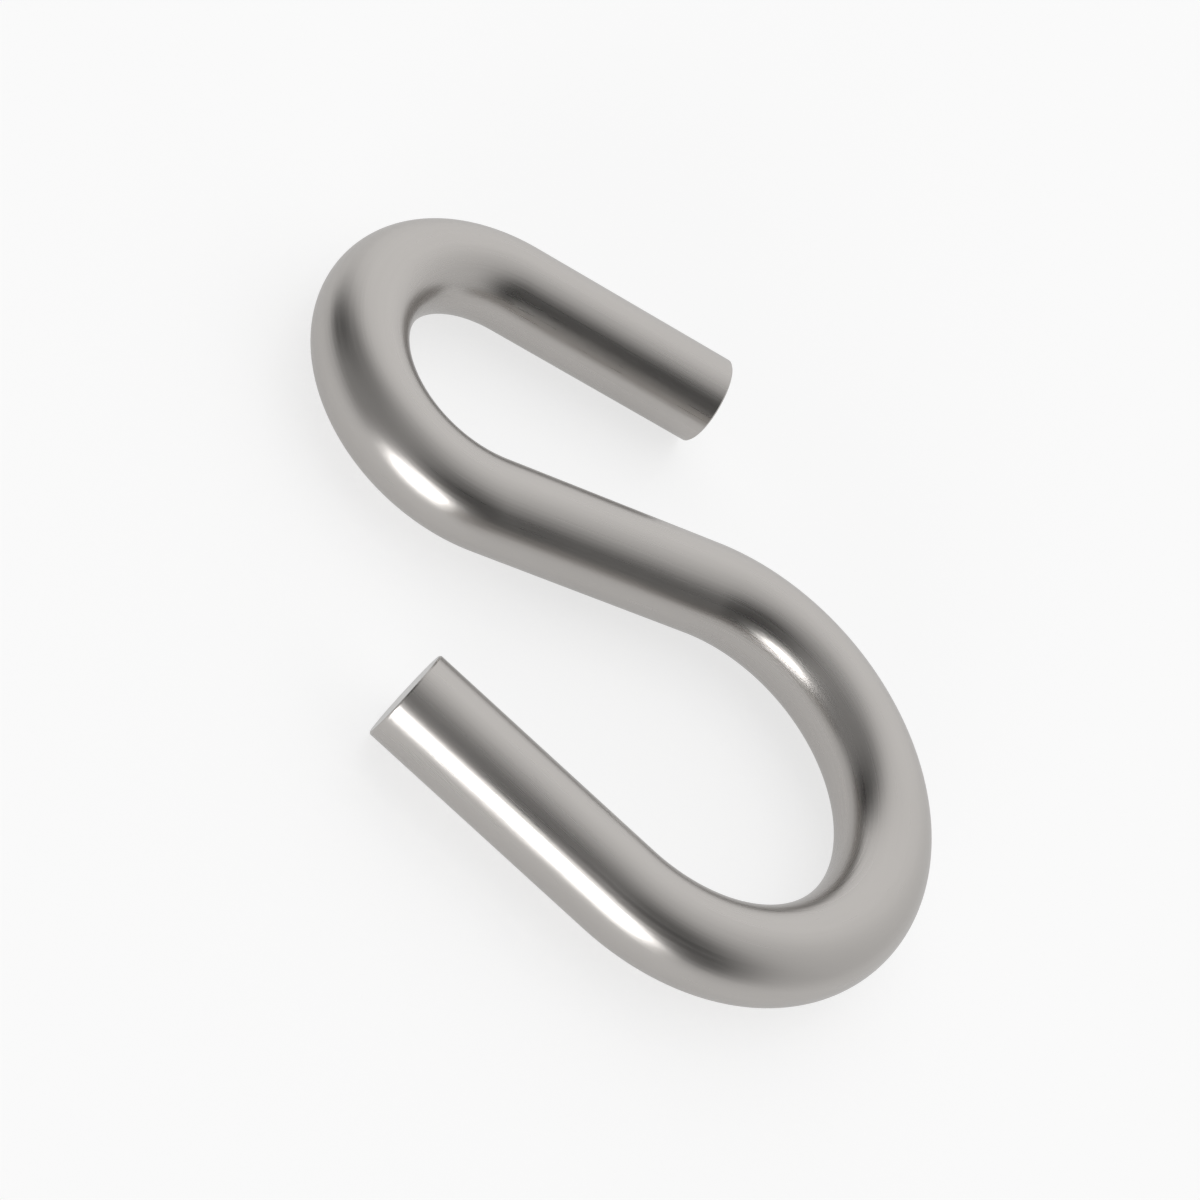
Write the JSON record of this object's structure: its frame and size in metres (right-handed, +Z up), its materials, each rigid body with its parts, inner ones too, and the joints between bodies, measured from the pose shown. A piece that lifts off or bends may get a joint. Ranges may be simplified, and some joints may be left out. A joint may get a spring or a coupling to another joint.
{
  "type": "s hook",
  "caption": "Asymmetric S hook bent from one round steel bar, with a small upper hook and a larger, more closed lower hook, to hang a ring, chain or bag from a rail or eye.",
  "frame": {"origin": "bottom centre of the hook's box as it lies flat, on the surface that it rests on", "axes": "+Z up, square to the plane of the S; +Y along the load line, from the centre of the lower bend to the centre of the upper bend; +X to the side on which the upper leg ends"},
  "size_m": [0.0406, 0.0554, 0.006],
  "materials": {
    "steel": "bare stainless steel, drawn bar with a fine satin sheen, bright and smooth"
  },
  "bodies": {
    "root": {"s_hook": "steel"}
  },
  "joints": []
}
